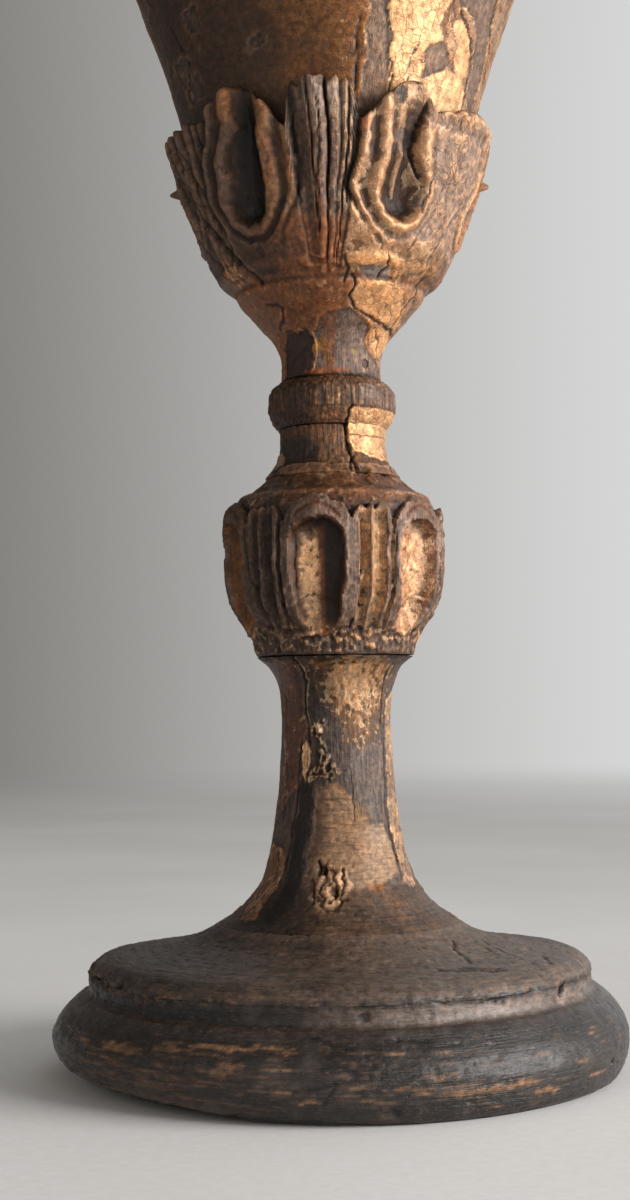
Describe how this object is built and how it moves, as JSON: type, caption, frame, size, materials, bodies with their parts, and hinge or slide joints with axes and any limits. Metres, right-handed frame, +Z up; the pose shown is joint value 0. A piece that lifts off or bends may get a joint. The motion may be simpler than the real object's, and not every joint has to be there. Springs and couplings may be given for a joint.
{
  "type": "communion chalice",
  "caption": "Turned and carved gilded-wood chalice: flared bowl with loose metal liner in a leaf calyx, ringed neck, fluted knop, flared stem and round moulded foot.",
  "frame": {"origin": "centre of the foot on the standing plane", "axes": "+Z up along the turning axis, towards the cup's mouth; -Y is the side seen in the front view"},
  "size_m": [0.116, 0.116, 0.24],
  "materials": {
    "gilded_wood": "worn water gilding over cracked gesso and red bole, with bare brown wood",
    "dark_wood": "blackened old wood with the finish rubbed through to brown",
    "bare_hardwood": "bare split hardwood",
    "liner_metal": "old gilt brass, softly polished inside",
    "iron": "rusted wrought iron"
  },
  "bodies": {
    "chalice": {"foot": "dark_wood", "stem": "gilded_wood", "foot_wedge": "bare_hardwood", "knop": "gilded_wood", "neck": "gilded_wood", "collar": "gilded_wood", "calyx": "gilded_wood", "bowl": "gilded_wood", "locking_pins": "iron"},
    "liner": {"liner": "liner_metal"}
  },
  "joints": [
    {"name": "liner_lift", "type": "slide", "parent": "chalice", "child": "liner", "axis": [0, 0, 1], "range_m": [0, 0.1]}
  ]
}
